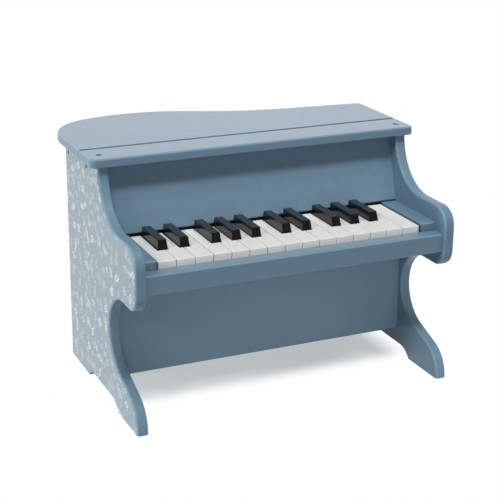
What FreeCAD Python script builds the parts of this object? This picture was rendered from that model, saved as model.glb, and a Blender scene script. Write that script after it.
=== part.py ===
import FreeCAD, Part
import math
import os

# A wooden toy upright piano: painted boards, 25 sprung keys and a glockenspiel inside.
# Millimetres, +Z up, X to the player's right. Depths (Y) are counted from the front of
# the arms towards the back, and the finished pieces are moved so that the origin lies
# on the floor under the middle of the overall box.

Vector = FreeCAD.Vector
axis_x = Vector(1, 0, 0)
axis_y = Vector(0, 1, 0)
axis_z = Vector(0, 0, 1)

# Overall case
height = 276.0
side_depth = 235.0
panel_thickness = 13.0
arris_radius = 3.0
cut_overrun = 1.0
fit_clearance = 0.05
edge_tolerance = 0.01

# Two-board top
top_overhang = 8.0
top_thickness = 10.0
top_edge_radius = 2.3
top_lower_edge_radius = 1.0
seam_depth = 156.0
seam_gap = 2.0
strip_width = 45.0
strip_corner_radius = 7.0
# rear edge from left to right: round corner, broad crest, long hollow, straight end
rear_corner_setback = 7.7
rear_corner_radius = 67.0
crest_slope = 18.0
crest_radius = 190.0
fall_slope = 25.0
hollow_radius = 327.0
end_slope = 5.0
rear_right_corner_radius = 8.0

# Side panels
strip_overhang = 5.0
arm_top_share = 0.75
arm_height = 70.0
arm_nose_radius = 22.0
arm_chin_radius = 20.0
sweep_angle = 89.05
arch_radius_share = 0.3358
arch_centre_depth = 43.0
instep_angle = 20.0
toe_setback = 0.5
notch_front = 63.0
rear_foot_length = 65.0
notch_height = 11.0
notch_end_radius = 28.0
heel_radius = 4.0

# Key slip, key bed, knee panel and back panel
slip_front = 5.0
slip_thickness = 15.5
slip_drop = 7.6
slip_height = 21.6
slip_edge_radius = 2.0
slip_lower_edge_radius = 1.0
key_bed_thickness = 8.2
knee_panel_setback = 5.0
knee_panel_thickness = 9.0
knee_panel_bottom = 29.0
back_panel_thickness = 5.0

# Fallboard and the felt under it
fallboard_gap = 3.0
fallboard_overlap = 0.5
fallboard_thickness = 9.4
fallboard_rail_gap = 3.2
fallboard_edge_radius = 1.5
fallboard_felt_setback = 1.0
fallboard_felt_thickness = 3.0
fallboard_felt_height = 2.4

# Cross rails under the top
rail_height = 18.0
seam_rail_width = 18.0
back_rail_width = 15.0

# Keyboard
white_pitch = 21.0
white_count = 15
key_gap = 0.8
key_slip_gap = 1.5
key_drop = 22.0
white_length = 88.0
key_skirt = 12.0
key_wall = 1.8
key_roof = 2.0
white_edge_radius = 0.5
white_corner_radius = 0.6
black_reach = 53.0
black_rear_gap = 0.5
black_side_gap = 0.8
black_rise = 10.2
black_taper = 1.4
black_front_slope = 3.0
black_nose_radius = 1.0
black_edge_radius = 0.5
notch_clearance = 1.0
pocket_setback = 19.0
white_dip_angle = 3.0
black_dip_angle = 3.4

# Key levers, pivot rod and hammers
pivot_setback = 25.0
pivot_drop = 10.5
pivot_radius = 2.0
pivot_seat = 6.0
pivot_boss_radius = 5.5
lever_height = 9.0
lever_side_gap = 1.4
lever_overlap = 6.0
lever_tail = 6.0
hammer_stem_length = 6.0
hammer_width_share = 0.5
hammer_head_radius = 3.2
strike_gap = 0.3

# Key blocks
block_width = 19.0
block_side_gap = 1.5
block_rise = 2.0
block_tail = 15.0
block_edge_radius = 2.5

# Guide combs, stop felts and tail rest
comb_base_depth = 8.0
comb_base_height = 2.0
comb_tab_depth = 2.5
comb_tab_drop = 8.5
comb_side_clearance = 0.5
white_comb_setback = 15.0
black_comb_setback = 15.0
stop_felt_width = 6.5
stop_felt_clearance = 0.3
white_stop_setback = 5.0
black_stop_setback = 6.0
rest_place_share = 0.62
rest_width = 10.0
rest_felt_height = 3.0

# Return spring comb and its clamp bar
spring_thickness = 0.6
spring_tip_setback = 4.0
spring_reach = 19.0
spring_base_width = 12.0
spring_tongue_share = 0.5
spring_contact_gap = 0.3
clamp_bar_height = 3.2
clamp_bar_setback = 1.0

# Chime bars and their rails
bar_rise = 21.0
bar_thickness = 2.5
bar_side_gap = 3.5
bar_end_clearance = 5.0
treble_bar_share = 0.63
node_share = 0.276
chime_rail_width = 10.0
chime_rail_height = 12.0
chime_felt_width = 7.0
chime_felt_height = 2.0
chime_strip_width = 8.0
chime_strip_height = 5.0
chime_strip_gap = 0.2
chime_pin_radius = 0.9
chime_pin_hole_radius = 1.5
chime_pin_rise = 2.0
chime_pin_bite = 6.0

# Fasteners
screw_radius = 1.4
screw_head_radius = 2.3
screw_head_height = 2.4
screw_length = 32.0
strip_screw_share = 0.4
strip_recess_depth = 4.4
strip_recess_radius = 3.5
side_recess_depth = 4.0
back_screw_radius = 1.4
back_screw_head_radius = 3.0
back_screw_crown_radius = 2.1
back_screw_head_height = 1.6
back_screw_length = 16.0
back_screw_share = 0.8
dowel_radius = 3.0
dowel_board_depth = 6.0
dowel_panel_depth = 14.0
dowel_shares = (0.2, 0.5)

# Names of the keys, and the lanes into which the two groups of each octave are divided
white_names = ["c", "d", "e", "f", "g", "a", "b"]
octave_names = ["c", "c_sharp", "d", "d_sharp", "e", "f", "f_sharp", "g", "g_sharp", "a", "a_sharp", "b"]
lower_group_lanes = 5
upper_group_lanes = 7
lower_group_whites = 3
upper_group_whites = 4
octave_count = white_count // len(white_names)
key_count = octave_count * len(octave_names) + 1

# Widths, from the keyboard outwards
keyboard_width = white_count * white_pitch
half_inside = keyboard_width / 2 + block_side_gap + block_width
half_body = half_inside + panel_thickness
half_top = half_body + top_overhang
panel_middle = half_body - panel_thickness / 2
narrow_lane = upper_group_whites * white_pitch / upper_group_lanes
lever_width = narrow_lane - lever_side_gap
black_width = narrow_lane - black_side_gap
bar_width = narrow_lane - bar_side_gap
hammer_width = narrow_lane * hammer_width_share
tongue_width = narrow_lane * spring_tongue_share

# Heights
top_underside = height - top_thickness
arm_top = height * arm_top_share
arm_underside = arm_top - arm_height
key_top = arm_top - key_drop
slip_top = key_top - slip_drop
slip_bottom = slip_top - slip_height
key_bed_top = slip_bottom + key_bed_thickness
skirt_bottom = key_top - key_skirt
pivot_height = key_top - pivot_drop
lever_bottom = pivot_height - lever_height / 2
lever_top = lever_bottom + lever_height
fallboard_bottom = key_top + fallboard_gap
rail_bottom = top_underside - rail_height
rail_middle = top_underside - rail_height / 2
bar_bottom = key_top + bar_rise
bar_top = bar_bottom + bar_thickness
chime_rail_top = bar_bottom - chime_felt_height

# Depths, from the front backwards
strip_front = seam_depth - strip_width
side_top_front = strip_front + strip_overhang
notch_rear = side_depth - rear_foot_length
arch_radius = arm_underside * arch_radius_share
knee_panel_front = arch_centre_depth + arch_radius + knee_panel_setback
back_panel_front = side_depth - back_panel_thickness
back_rail_middle = back_panel_front - back_rail_width / 2
slip_rear = slip_front + slip_thickness
key_front = slip_rear + key_slip_gap
white_rear = key_front + white_length
black_front = white_rear - black_reach
pocket_rear = white_rear - pocket_setback
lever_front = white_rear - lever_overlap
pivot_depth = white_rear + pivot_setback
fallboard_foot = white_rear - fallboard_overlap
black_rear = fallboard_foot - black_rear_gap
fallboard_top = seam_depth - seam_rail_width / 2 - fallboard_rail_gap - fallboard_thickness
lean_share = (fallboard_top - fallboard_foot) / (top_underside - fallboard_bottom)
spring_front = pocket_rear + spring_tip_setback
spring_bend = spring_front + spring_reach
spring_rear = spring_bend + spring_base_width
fallboard_back = fallboard_foot + (bar_top - fallboard_bottom) * lean_share + fallboard_thickness
bar_front = fallboard_back + bar_end_clearance
bar_rear = back_panel_front - bar_end_clearance
bass_bar_length = bar_rear - bar_front
treble_bar_length = bass_bar_length * treble_bar_share
strike_depth = (bar_front + bar_rear) / 2
rest_depth = pivot_depth + (strike_depth - pivot_depth) * rest_place_share
rear_corner_start = side_depth - rear_corner_setback
crest_cosine = math.cos(math.radians(crest_slope))
total_depth = rear_corner_start + rear_corner_radius * crest_cosine + crest_radius * (1 - crest_cosine)


# Drawing helpers
def block(x0, x1, y0, y1, z0, z1):
    return Part.makeBox(x1 - x0, y1 - y0, z1 - z0, Vector(x0, y0, z0))


def cross_board(y0, y1, z0, z1):
    # board that fills the width between the two side panels
    return block(-half_inside, half_inside, y0, y1, z0, z1)


def keyboard_strip(depth, width, z0, z1):
    # strip as long as the row of keys, its middle line at the given depth
    half = keyboard_width / 2
    return block(-half, half, depth - width / 2, depth + width / 2, z0, z1)


def cross_rod(radius, x, length, y, z):
    # round rod along X, starting at x
    return Part.makeCylinder(radius, length, Vector(x, y, z), axis_x)


def line(start, end):
    return Part.LineSegment(start, end).toShape()


def side_point(y, z):
    return Vector(0, y, z)


def side_arc(y, z, radius, start, end):
    # arc in the YZ plane about (y, z), angles in radians from +Y towards +Z
    points = [start, (start + end) / 2, end]
    places = [side_point(y + radius * math.cos(a), z + radius * math.sin(a)) for a in points]
    return Part.Arc(*places).toShape()


def side_prism(edges, x0, x1):
    profile = Part.Face(Part.Wire(Part.__sortEdges__(edges)))
    profile.translate(Vector(x0, 0, 0))
    return profile.extrude(Vector(x1 - x0, 0, 0))


def side_polygon(points, x0, x1):
    corners = [side_point(y, z) for y, z in points]
    outline = Part.makePolygon(corners + corners[:1])
    outline.translate(Vector(x0, 0, 0))
    return Part.Face(outline).extrude(Vector(x1 - x0, 0, 0))


def plan_polygon(points, z0, z1):
    corners = [Vector(x, y, z0) for x, y in points]
    return Part.Face(Part.makePolygon(corners + corners[:1])).extrude(Vector(0, 0, z1 - z0))


def level_rectangle(x0, x1, y0, y1, z):
    corners = [Vector(x0, y0, z), Vector(x1, y0, z), Vector(x1, y1, z), Vector(x0, y1, z)]
    return Part.makePolygon(corners + corners[:1])


def near(a, b):
    return abs(a - b) < edge_tolerance


def level_edges(shape, z):
    return [e for e in shape.Edges if near(e.BoundBox.ZMin, z) and near(e.BoundBox.ZMax, z)]


def mirrored(shape):
    return shape.mirror(Vector(0, 0, 0), axis_x)


def both_sides(shapes):
    return Part.makeCompound(shapes + [mirrored(s) for s in shapes])


# Case: side panels, top, front and back
def notch_run():
    return math.sqrt(notch_height * (notch_end_radius + notch_end_radius - notch_height))


def foot_edges():
    # floor line of one panel, with the long shallow notch between its two feet
    run = notch_run()
    centre_z = notch_height - notch_end_radius
    swing = math.asin(run / notch_end_radius)
    upright = math.pi / 2
    front = notch_front + run
    rear = notch_rear - run
    return [
        line(side_point(toe_setback, 0), side_point(notch_front, 0)),
        side_arc(front, centre_z, notch_end_radius, upright + swing, upright),
        line(side_point(front, notch_height), side_point(rear, notch_height)),
        side_arc(rear, centre_z, notch_end_radius, upright, upright - swing),
        line(side_point(notch_rear, 0), side_point(side_depth - heel_radius, 0)),
        side_arc(side_depth - heel_radius, heel_radius, heel_radius, -upright, 0),
    ]


def leg_edges():
    # round arch behind the leg, sloping instep and quarter-round toe
    slope = math.radians(instep_angle)
    upright = math.pi / 2
    arch_z = arm_underside - arch_radius
    heel_y = arch_centre_depth + arch_radius * math.sin(slope)
    heel_z = arch_z - arch_radius * math.cos(slope)
    drop = heel_z - (heel_y - toe_setback) * math.tan(slope)
    toe_radius = drop / (1 / math.cos(slope) - math.tan(slope))
    toe_y = toe_setback + toe_radius
    instep = side_point(toe_y - toe_radius * math.sin(slope), toe_radius * math.cos(slope))
    return [
        side_arc(arch_centre_depth, arch_z, arch_radius, upright, slope - upright),
        line(side_point(heel_y, heel_z), instep),
        side_arc(toe_y, 0, toe_radius, upright + slope, math.pi),
    ]


def arm_edges():
    # hollow sweep from the top down to the arm, and the arm's rounded nose
    upright = math.pi / 2
    swing = math.radians(sweep_angle)
    sweep_radius = (top_underside - arm_top) / (1 - math.cos(swing))
    sweep_y = side_top_front - sweep_radius * math.sin(swing)
    nose_z = arm_top - arm_nose_radius
    chin_z = arm_underside + arm_chin_radius
    return [
        line(side_point(side_depth, heel_radius), side_point(side_depth, top_underside)),
        line(side_point(side_depth, top_underside), side_point(side_top_front, top_underside)),
        side_arc(sweep_y, arm_top + sweep_radius, sweep_radius, swing - upright, -upright),
        line(side_point(sweep_y, arm_top), side_point(arm_nose_radius, arm_top)),
        side_arc(arm_nose_radius, nose_z, arm_nose_radius, upright, math.pi),
        line(side_point(0, nose_z), side_point(0, chin_z)),
        side_arc(arm_chin_radius, chin_z, arm_chin_radius, math.pi, upright + math.pi),
        line(side_point(arm_chin_radius, arm_underside), side_point(arch_centre_depth, arm_underside)),
    ]


def side_panel():
    panel = side_prism(foot_edges() + leg_edges() + arm_edges(), half_inside, half_body)

    def is_arris(edge):
        box = edge.BoundBox
        on_face = near(box.XMin, box.XMax)
        above_foot = box.ZMax > notch_height + arris_radius
        return on_face and above_foot and box.ZMin < top_underside - arris_radius

    panel = panel.makeFillet(arris_radius, [e for e in panel.Edges if is_arris(e)])
    for y in (seam_depth, back_rail_middle):
        panel = panel.cut(side_screw_hole(y))
    panel = panel.cut(strip_screw_hole())
    for y in dowel_depths():
        panel = panel.cut(dowel(y, fit_clearance))
    return panel


def rounded_top(board):
    board = board.makeFillet(top_edge_radius, level_edges(board, height))
    return board.makeFillet(top_lower_edge_radius, level_edges(board, top_underside))


def top_front_strip():
    rear = seam_depth - seam_gap / 2
    strip = block(-half_top, half_top, strip_front, rear, top_underside, height)
    uprights = [e for e in strip.Edges if near(e.BoundBox.ZLength, top_thickness)]
    corners = [e for e in uprights if near(e.BoundBox.YMax, strip_front)]
    strip = rounded_top(strip.makeFillet(strip_corner_radius, corners))
    for hole in (strip_screw_hole(), mirrored(strip_screw_hole())):
        strip = strip.cut(hole)
    return strip


def turn(start, heading, radius, new_heading):
    # plan arc that leaves start along heading and ends along new_heading, angles in radians
    side = 1 if new_heading > heading else -1

    def place(angle):
        return centre + Vector(math.sin(angle), -math.cos(angle), 0) * (side * radius)

    centre = start + Vector(-math.sin(heading), math.cos(heading), 0) * (side * radius)
    end = place(new_heading)
    return Part.Arc(start, place((heading + new_heading) / 2), end).toShape(), end


def rear_edge_arcs():
    left = Vector(-half_top, rear_corner_start, top_underside)
    rise = math.radians(crest_slope)
    fall = -math.radians(fall_slope)
    corner, crest_start = turn(left, math.pi / 2, rear_corner_radius, rise)
    crest, fall_end = turn(crest_start, rise, crest_radius, fall)
    hollow, hollow_end = turn(fall_end, fall, hollow_radius, -math.radians(end_slope))
    return [corner, crest, hollow], left, hollow_end


def top_rear_board():
    arcs, left, hollow_end = rear_edge_arcs()
    front = seam_depth + seam_gap / 2
    slope = math.radians(end_slope)
    right_x = half_top - rear_right_corner_radius * (1 - math.sin(slope))
    right_y = hollow_end.y - (right_x - hollow_end.x) * math.tan(slope)
    corner_start = Vector(right_x, right_y, top_underside)
    corner, right = turn(corner_start, -slope, rear_right_corner_radius, -math.pi / 2)
    front_left = Vector(-half_top, front, top_underside)
    front_right = Vector(half_top, front, top_underside)
    edges = [line(front_left, left)] + arcs
    edges += [line(hollow_end, corner_start), corner]
    edges += [line(right, front_right), line(front_right, front_left)]
    outline = Part.Face(Part.Wire(Part.__sortEdges__(edges)))
    board = rounded_top(outline.extrude(Vector(0, 0, top_thickness)))
    for y in dowel_depths():
        board = board.cut(dowel(y, fit_clearance)).cut(mirrored(dowel(y, fit_clearance)))
    return board


def fallboard():
    # leans back from behind the keys to the rail under the top's seam
    points = [
        (fallboard_foot, fallboard_bottom),
        (fallboard_foot + fallboard_thickness, fallboard_bottom),
        (fallboard_top + fallboard_thickness, top_underside),
        (fallboard_top, top_underside),
    ]
    board = side_polygon(points, -half_inside, half_inside)
    front = [e for e in level_edges(board, fallboard_bottom) if near(e.BoundBox.YMax, fallboard_foot)]
    return board.makeFillet(fallboard_edge_radius, front)


def fallboard_felt():
    front = fallboard_foot + fallboard_felt_setback + fallboard_edge_radius
    rear = front + fallboard_felt_thickness
    half = half_inside - block_width
    return block(-half, half, front, rear, fallboard_bottom - fallboard_felt_height, fallboard_bottom)


def key_slip():
    slip = cross_board(slip_front, slip_rear, slip_bottom, slip_top)
    for radius, z in ((slip_edge_radius, slip_top), (slip_lower_edge_radius, slip_bottom)):
        front = [e for e in level_edges(slip, z) if near(e.BoundBox.YMax, slip_front)]
        slip = slip.makeFillet(radius, front)
    return slip


def key_bed():
    bed = cross_board(slip_rear, back_panel_front, slip_bottom, key_bed_top)
    for x in back_screw_places():
        bed = bed.cut(back_screw_hole(x, key_bed_top - key_bed_thickness / 2))
    return bed


def knee_panel():
    rear = knee_panel_front + knee_panel_thickness
    return cross_board(knee_panel_front, rear, knee_panel_bottom, slip_bottom)


def back_panel():
    panel = cross_board(back_panel_front, side_depth, knee_panel_bottom, top_underside)
    for x, z in back_screw_grid():
        panel = panel.cut(back_screw_hole(x, z))
    return panel


def cross_rail(front, rear, middle):
    rail = cross_board(front, rear, rail_bottom, top_underside)
    for hole in (side_screw_hole(middle), mirrored(side_screw_hole(middle))):
        rail = rail.cut(hole)
    return rail


def seam_rail():
    return cross_rail(seam_depth - seam_rail_width / 2, seam_depth + seam_rail_width / 2, seam_depth)


def back_rail():
    rail = cross_rail(back_panel_front - back_rail_width, back_panel_front, back_rail_middle)
    for x in back_screw_places():
        rail = rail.cut(back_screw_hole(x, rail_middle))
    return rail


def key_block():
    inner = half_inside - block_width
    top = key_top + block_rise
    solid = block(inner, half_inside, key_front, pivot_depth + block_tail, key_bed_top, top)
    front = [e for e in level_edges(solid, top) if near(e.BoundBox.YMax, key_front)]
    solid = solid.makeFillet(block_edge_radius, front)
    seat_length = pivot_seat + cut_overrun
    seat_radius = pivot_radius + fit_clearance
    return solid.cut(cross_rod(seat_radius, inner - cut_overrun, seat_length, pivot_depth, pivot_height))


# Fasteners
def wood_screw(head_end, direction, clearance):
    # countersunk screw: cone head with its flat outer face at head_end, shank along direction
    radius = screw_radius + clearance
    head = Part.makeCone(screw_head_radius + clearance, radius, screw_head_height, head_end, direction)
    neck = head_end + direction * screw_head_height
    shank = Part.makeCylinder(radius, screw_length - screw_head_height + clearance, neck, direction)
    return head.fuse(shank).removeSplitter()


def screw_hole(recess, recess_radius, head_end, direction):
    # recess from the outer face to the head, then the head's seat and the pilot hole
    start = head_end - direction * (recess + cut_overrun)
    bore = Part.makeCylinder(recess_radius, recess + cut_overrun, start, direction)
    return bore.fuse(wood_screw(head_end, direction, fit_clearance))


def strip_screw_head():
    depth = strip_front + strip_width * strip_screw_share
    return Vector(panel_middle, depth, height - strip_recess_depth + screw_head_height)


def strip_screw_hole():
    recess = strip_recess_depth - screw_head_height
    return screw_hole(recess, strip_recess_radius, strip_screw_head(), -axis_z)


def strip_screw():
    return wood_screw(strip_screw_head(), -axis_z, 0)


def side_screw_head(y):
    return Vector(half_body - side_recess_depth + screw_head_height, y, rail_middle)


def side_screw_hole(y):
    recess = side_recess_depth - screw_head_height
    return screw_hole(recess, screw_head_radius + fit_clearance, side_screw_head(y), -axis_x)


def side_screw(y):
    return wood_screw(side_screw_head(y), -axis_x, 0)


def back_screw_places():
    outer = half_inside * back_screw_share
    return [-outer, 0, outer]


def back_screw_grid():
    levels = [rail_middle, key_bed_top - key_bed_thickness / 2]
    return [(x, z) for z in levels for x in back_screw_places()]


def back_screw_hole(x, z):
    start = Vector(x, side_depth + cut_overrun, z)
    length = back_screw_length + cut_overrun
    return Part.makeCylinder(back_screw_radius + fit_clearance, length, start, -axis_y)


def back_screw(x, z):
    # low tapered head on a straight shank
    seat = Vector(x, side_depth, z)
    shank = Part.makeCylinder(back_screw_radius, back_screw_length, seat, -axis_y)
    radii = (back_screw_head_radius, back_screw_crown_radius)
    return Part.makeCone(*radii, back_screw_head_height, seat, axis_y).fuse(shank)


def dowel_depths():
    return [seam_depth + (side_depth - seam_depth) * share for share in dowel_shares]


def dowel(y, clearance):
    start = Vector(panel_middle, y, top_underside - dowel_panel_depth - clearance)
    length = dowel_panel_depth + dowel_board_depth + clearance + clearance
    return Part.makeCylinder(dowel_radius + clearance, length, start, axis_z)


# Keyboard: every key is one moulding with its lever and hammer
def key_names():
    names = [f"key_{name}{octave + 1}" for octave in range(octave_count) for name in octave_names]
    return names + [f"key_{octave_names[0]}{octave_count + 1}"]


def lane(index):
    # the strip of keyboard width that key number index has behind the black keys' fronts
    octave, step = divmod(index, len(octave_names))
    start = octave * len(white_names) * white_pitch - keyboard_width / 2
    lower = lower_group_whites * white_pitch
    if step < lower_group_lanes:
        width = lower / lower_group_lanes
        return start + step * width, start + (step + 1) * width
    start += lower + (step - lower_group_lanes) * narrow_lane
    return start, start + narrow_lane


def lane_middle(index):
    return sum(lane(index)) / 2


def is_black(index):
    return octave_names[index % len(octave_names)].endswith("sharp")


def white_span(index):
    octave, step = divmod(index, len(octave_names))
    order = white_names.index(octave_names[step])
    start = (octave * len(white_names) + order) * white_pitch - keyboard_width / 2
    return start + key_gap / 2, start + white_pitch - key_gap / 2


def rear_span(index):
    left, right = lane(index)
    if index == key_count - 1:
        right = white_span(index)[1] + key_gap / 2
    return left + key_gap / 2, right - key_gap / 2


def lever(index):
    # beam with a round boss at the pivot rod and a hammer standing on its tail
    middle = lane_middle(index)
    left = middle - lever_width / 2
    lever_rear = strike_depth + lever_tail
    beam = block(left, left + lever_width, lever_front, lever_rear, lever_bottom, lever_top)
    boss = cross_rod(pivot_boss_radius, left, lever_width, pivot_depth, pivot_height)
    hammer_left = middle - hammer_width / 2
    hammer_right = hammer_left + hammer_width
    stem_front = strike_depth - hammer_stem_length / 2
    stem_rear = stem_front + hammer_stem_length
    head_height = hammer_head_height()
    stem = block(hammer_left, hammer_right, stem_front, stem_rear, lever_bottom, head_height)
    head = cross_rod(hammer_head_radius, hammer_left, hammer_width, strike_depth, head_height)
    return beam.fuse([boss, stem, head]).removeSplitter()


def hammer_head_height():
    # the head stops just short of its chime bar when the key is fully down
    rise = (strike_depth - pivot_depth) * math.sin(math.radians(black_dip_angle))
    return bar_bottom - strike_gap - rise - hammer_head_radius


def pivot_hole():
    radius = pivot_radius + fit_clearance
    return cross_rod(radius, -half_body, half_body + half_body, pivot_depth, pivot_height)


def white_key(index):
    left, right = white_span(index)
    rear_left, rear_right = rear_span(index)
    shoulder = black_front - notch_clearance
    front_part = block(left, right, key_front, shoulder, skirt_bottom, key_top)
    rear_part = block(rear_left, rear_right, key_front, white_rear, skirt_bottom, key_top)
    cap = front_part.fuse(rear_part).removeSplitter()
    uprights = [e for e in cap.Edges if near(e.BoundBox.ZLength, key_skirt)]
    cap = cap.makeFillet(white_corner_radius, [e for e in uprights if near(e.BoundBox.YMax, key_front)])
    cap = cap.makeFillet(white_edge_radius, level_edges(cap, key_top))
    ceiling = key_top - key_roof
    floor = skirt_bottom - cut_overrun
    front = key_front + key_roof
    wide = block(left + key_wall, right - key_wall, front, shoulder - key_wall, floor, ceiling)
    narrow = block(rear_left + key_wall, rear_right - key_wall, front, pocket_rear, floor, ceiling)
    return cap.cut(wide.fuse(narrow)).fuse(lever(index)).cut(pivot_hole()).removeSplitter()


def black_key(index):
    # straight skirt below the white keys' tops, tapered cap with a sloping, round-nosed front above them
    middle = lane_middle(index)
    left, right = middle - black_width / 2, middle + black_width / 2
    crown = key_top + black_rise
    half_crown = (black_width - black_taper) / 2
    nose = black_front + black_front_slope
    base = block(left, right, black_front, black_rear, skirt_bottom, key_top)
    foot = level_rectangle(left, right, black_front, black_rear, key_top)
    top = level_rectangle(middle - half_crown, middle + half_crown, nose, black_rear, crown)
    cap = Part.makeLoft([foot, top], True, True).fuse(base).removeSplitter()
    nose_edge = [e for e in level_edges(cap, crown) if near(e.BoundBox.YMax, nose)]
    cap = cap.makeFillet(black_nose_radius, nose_edge)
    rising = [e for e in cap.Edges if e.BoundBox.ZMax > key_top + edge_tolerance]
    sides = [e for e in rising if e.BoundBox.XLength < half_crown]
    cap = cap.makeFillet(black_edge_radius, [e for e in sides if e.BoundBox.YMin < black_rear - edge_tolerance])
    floor = skirt_bottom - cut_overrun
    front = black_front + key_roof
    pocket = block(left + key_wall, right - key_wall, front, pocket_rear, floor, key_top - key_roof)
    return cap.cut(pocket).fuse(lever(index)).cut(pivot_hole()).removeSplitter()


def pivot_rod():
    half = half_inside - block_width + pivot_seat - fit_clearance
    return cross_rod(pivot_radius, -half, half + half, pivot_depth, pivot_height)


# Fittings on the key bed
def guide_comb(depth, spans):
    # base strip with one upright tab standing in the hollow of each key
    base = keyboard_strip(depth, comb_base_depth, key_bed_top, key_bed_top + comb_base_height)
    inset = key_wall + comb_side_clearance
    front = depth - comb_tab_depth / 2
    rear = front + comb_tab_depth
    tab_top = key_top - comb_tab_drop
    tabs = []
    for left, right in spans:
        tabs.append(block(left + inset, right - inset, front, rear, key_bed_top, tab_top))
    return base.fuse(tabs).removeSplitter()


def white_guide_comb():
    whites = [i for i in range(key_count) if not is_black(i)]
    return guide_comb(key_front + white_comb_setback, [white_span(i) for i in whites])


def black_guide_comb():
    half = black_width / 2
    middles = [lane_middle(i) for i in range(key_count) if is_black(i)]
    return guide_comb(pocket_rear - black_comb_setback, [(m - half, m + half) for m in middles])


def stop_felt(depth, dip_angle):
    front = depth - stop_felt_width / 2
    dip = (pivot_depth - front) * math.sin(math.radians(dip_angle))
    top = skirt_bottom - dip - stop_felt_clearance
    return keyboard_strip(depth, stop_felt_width, key_bed_top, top)


def rest_rail():
    half = half_inside - block_width
    front = rest_depth - rest_width / 2
    return block(-half, half, front, front + rest_width, key_bed_top, lever_bottom - rest_felt_height)


def rest_felt():
    return keyboard_strip(rest_depth, rest_width, lever_bottom - rest_felt_height, lever_bottom)


def return_spring_comb():
    # flat strip under the clamp bar, with one tongue bent up under each key
    top = key_bed_top + spring_thickness
    half_row = keyboard_width / 2
    strip = block(-half_row, half_row, spring_bend, spring_rear, key_bed_top, top)
    tip = skirt_bottom - spring_contact_gap
    points = [
        (spring_bend, key_bed_top),
        (spring_bend, top),
        (spring_front, tip),
        (spring_front, tip - spring_thickness),
    ]
    half_tongue = tongue_width / 2
    tongues = []
    for middle in [lane_middle(i) for i in range(key_count)]:
        tongues.append(side_polygon(points, middle - half_tongue, middle + half_tongue))
    return strip.fuse(tongues).removeSplitter()


def spring_clamp_bar():
    half = keyboard_width / 2
    front = spring_bend + clamp_bar_setback
    bottom = key_bed_top + spring_thickness
    return block(-half, half, front, spring_rear, bottom, bottom + clamp_bar_height)


# Chimes: graduated bars on two slanting felted rails
def bar_length(x):
    first, last = lane_middle(0), lane_middle(key_count - 1)
    share = (x - first) / (last - first)
    return bass_bar_length + (treble_bar_length - bass_bar_length) * share


def node_line(x, side):
    return strike_depth + side * node_share * bar_length(x)


def slanted_strip(side, width, z0, z1):
    # strip from panel to panel along the bars' nodes, before (side -1) or behind (side 1) their middles
    half = width / 2
    left = node_line(-half_inside, side)
    right = node_line(half_inside, side)
    corners = [
        (-half_inside, left - half),
        (half_inside, right - half),
        (half_inside, right + half),
        (-half_inside, left + half),
    ]
    return plan_polygon(corners, z0, z1)


def chime_rail(side):
    return slanted_strip(side, chime_rail_width, chime_rail_top - chime_rail_height, chime_rail_top)


def chime_felt(side):
    return slanted_strip(side, chime_felt_width, chime_rail_top, bar_bottom)


def chime_strip():
    bottom = bar_top + chime_strip_gap
    return slanted_strip(-1, chime_strip_width, bottom, bottom + chime_strip_height)


def upright_rod(x, radius, bottom, top):
    return Part.makeCylinder(radius, top - bottom, Vector(x, node_line(x, 1), bottom), axis_z)


def chime_bar(index):
    x = lane_middle(index)
    left = x - bar_width / 2
    half = bar_length(x) / 2
    bar = block(left, left + bar_width, strike_depth - half, strike_depth + half, bar_bottom, bar_top)
    hole = upright_rod(x, chime_pin_hole_radius, bar_bottom - cut_overrun, bar_top + cut_overrun)
    return bar.cut(hole)


def chime_pin(index):
    bottom = chime_rail_top - chime_pin_bite
    return upright_rod(lane_middle(index), chime_pin_radius, bottom, bar_top + chime_pin_rise)


def build_pieces():
    every_key = range(key_count)
    panel = side_panel()
    block_right = key_block()
    side_screws = [side_screw(y) for y in (seam_depth, back_rail_middle)]
    pieces = {
        "left_side_panel": mirrored(panel),
        "right_side_panel": panel,
        "top_front_strip": top_front_strip(),
        "top_rear_board": top_rear_board(),
        "fallboard": fallboard(),
        "fallboard_felt": fallboard_felt(),
        "key_slip": key_slip(),
        "key_bed": key_bed(),
        "knee_panel": knee_panel(),
        "back_panel": back_panel(),
        "seam_rail": seam_rail(),
        "back_rail": back_rail(),
        "left_key_block": mirrored(block_right),
        "right_key_block": block_right,
        "strip_screws": both_sides([strip_screw()]),
        "side_screws": both_sides(side_screws),
        "back_panel_screws": Part.makeCompound([back_screw(x, z) for x, z in back_screw_grid()]),
        "top_dowels": both_sides([dowel(y, 0) for y in dowel_depths()]),
        "key_pivot_rod": pivot_rod(),
        "white_key_guide_comb": white_guide_comb(),
        "black_key_guide_comb": black_guide_comb(),
        "white_key_stop_felt": stop_felt(key_front + white_stop_setback, white_dip_angle),
        "black_key_stop_felt": stop_felt(black_front + black_stop_setback, black_dip_angle),
        "key_rest_rail": rest_rail(),
        "key_rest_felt": rest_felt(),
        "return_spring_comb": return_spring_comb(),
        "spring_clamp_bar": spring_clamp_bar(),
        "chime_front_rail": chime_rail(-1),
        "chime_rear_rail": chime_rail(1),
        "chime_front_felt": chime_felt(-1),
        "chime_rear_felt": chime_felt(1),
        "chime_hold_down_strip": chime_strip(),
        "chime_bars": Part.makeCompound([chime_bar(i) for i in every_key]),
        "chime_pins": Part.makeCompound([chime_pin(i) for i in every_key]),
    }
    for index, name in enumerate(key_names()):
        pieces[name] = black_key(index) if is_black(index) else white_key(index)
    return pieces


def write_pieces():
    os.makedirs("parts", exist_ok=True)
    to_origin = Vector(0, -total_depth / 2, 0)
    for name, shape in build_pieces().items():
        shape.translate(to_origin)
        shape.exportStep(os.path.join("parts", name + ".step"))
        state = "valid" if shape.isValid() else "not valid"
        print(name, state, len(shape.Solids), "solids", len(shape.Faces), "faces")


write_pieces()
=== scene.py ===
import math
import random

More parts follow.
